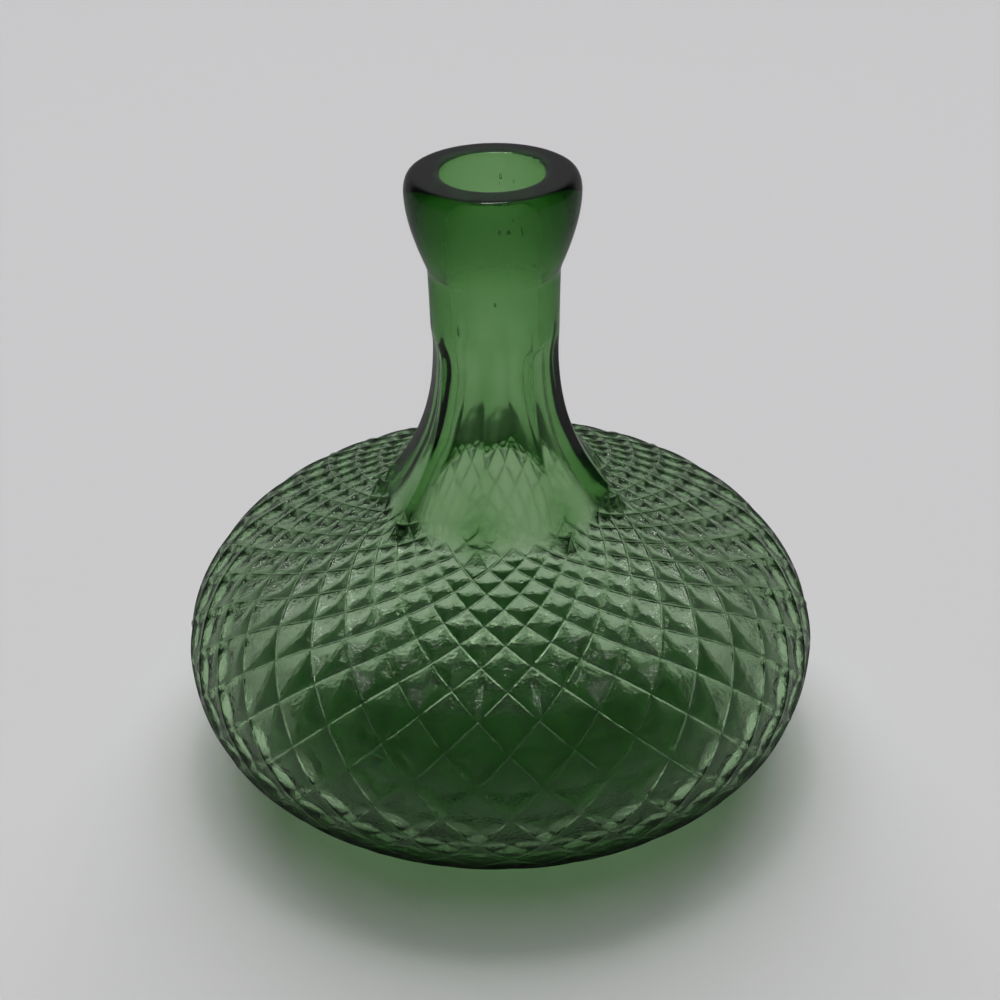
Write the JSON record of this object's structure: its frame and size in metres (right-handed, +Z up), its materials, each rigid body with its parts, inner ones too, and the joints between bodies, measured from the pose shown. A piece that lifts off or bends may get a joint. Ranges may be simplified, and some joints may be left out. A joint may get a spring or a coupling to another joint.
{
  "type": "decanter",
  "caption": "Squat green glass decanter: a wide bowl with a pressed diamond lattice, a fluted neck that flares into the shoulder, and a thick rolled collar round an open mouth.",
  "frame": {"origin": "centre of the foot ring, on the plane that the decanter stands on", "axes": "+Z up along the neck's axis, -Y towards the front of the picture, +X to its right"},
  "size_m": [0.16, 0.16, 0.1545],
  "materials": {
    "green_glass": "clear bottle-green glass, fire-polished, with an orange-peel ripple in the pressed facets"
  },
  "bodies": {
    "root": {"base_plate": "green_glass", "diamond_bowl": "green_glass", "fluted_neck": "green_glass", "lip_collar": "green_glass"}
  },
  "joints": []
}
